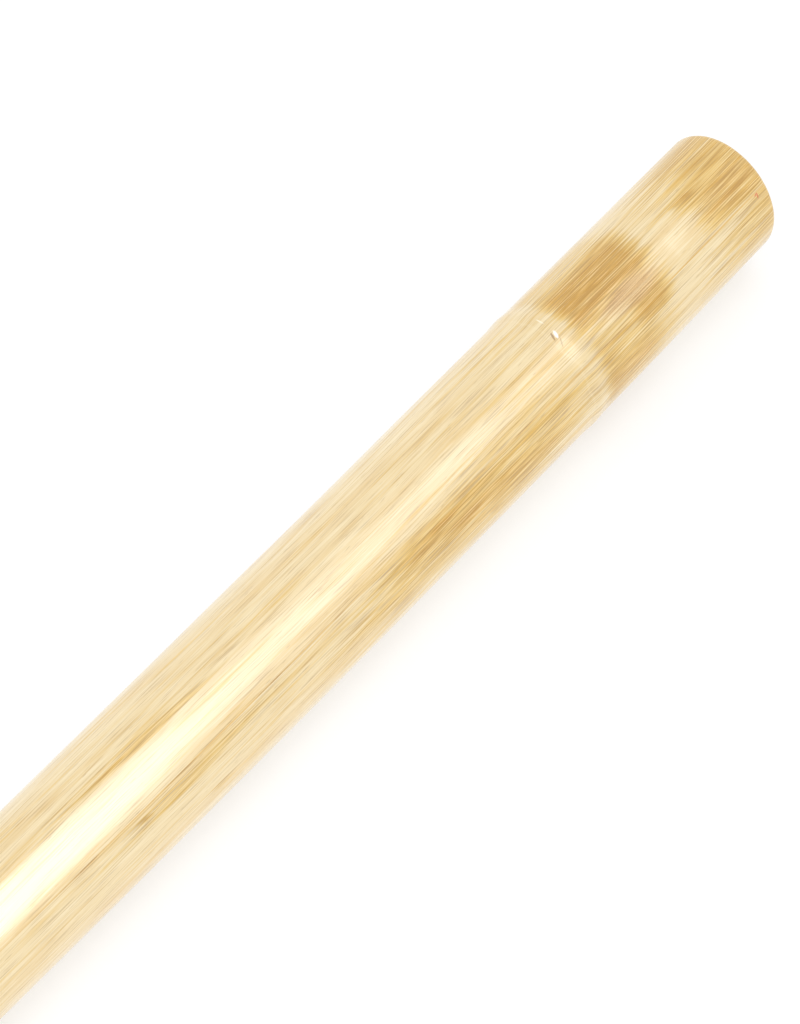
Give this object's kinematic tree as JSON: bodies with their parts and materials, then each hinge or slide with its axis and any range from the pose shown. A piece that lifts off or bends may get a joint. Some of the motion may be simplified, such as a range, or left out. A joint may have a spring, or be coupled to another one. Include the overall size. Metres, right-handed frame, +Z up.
{
  "type": "bamboo didgeridoo",
  "caption": "Long straight-blown wind instrument: a clear-lacquered bamboo tube with a slight natural bow, split and glued along its length, with a beeswax mouth hole and an open bell end.",
  "frame": {"origin": "middle of the footprint: centre of the bounding box, on the surface that the tube lies on", "axes": "+X along the tube towards the mouth end, +Z up, and the natural bow stands out towards -Y"},
  "size_m": [1.2024, 0.0632, 0.057],
  "materials": {
    "bamboo": "sanded, clear gloss lacquer outside, bare inside",
    "glue": "sanded flush under the lacquer",
    "beeswax": "hand-smoothed, soft sheen"
  },
  "bodies": {
    "root": {"culm_half_upper": "bamboo", "culm_half_lower": "bamboo", "glue_line_front": "glue", "glue_line_back": "glue", "mouth_wax_lining": "beeswax"}
  },
  "joints": []
}
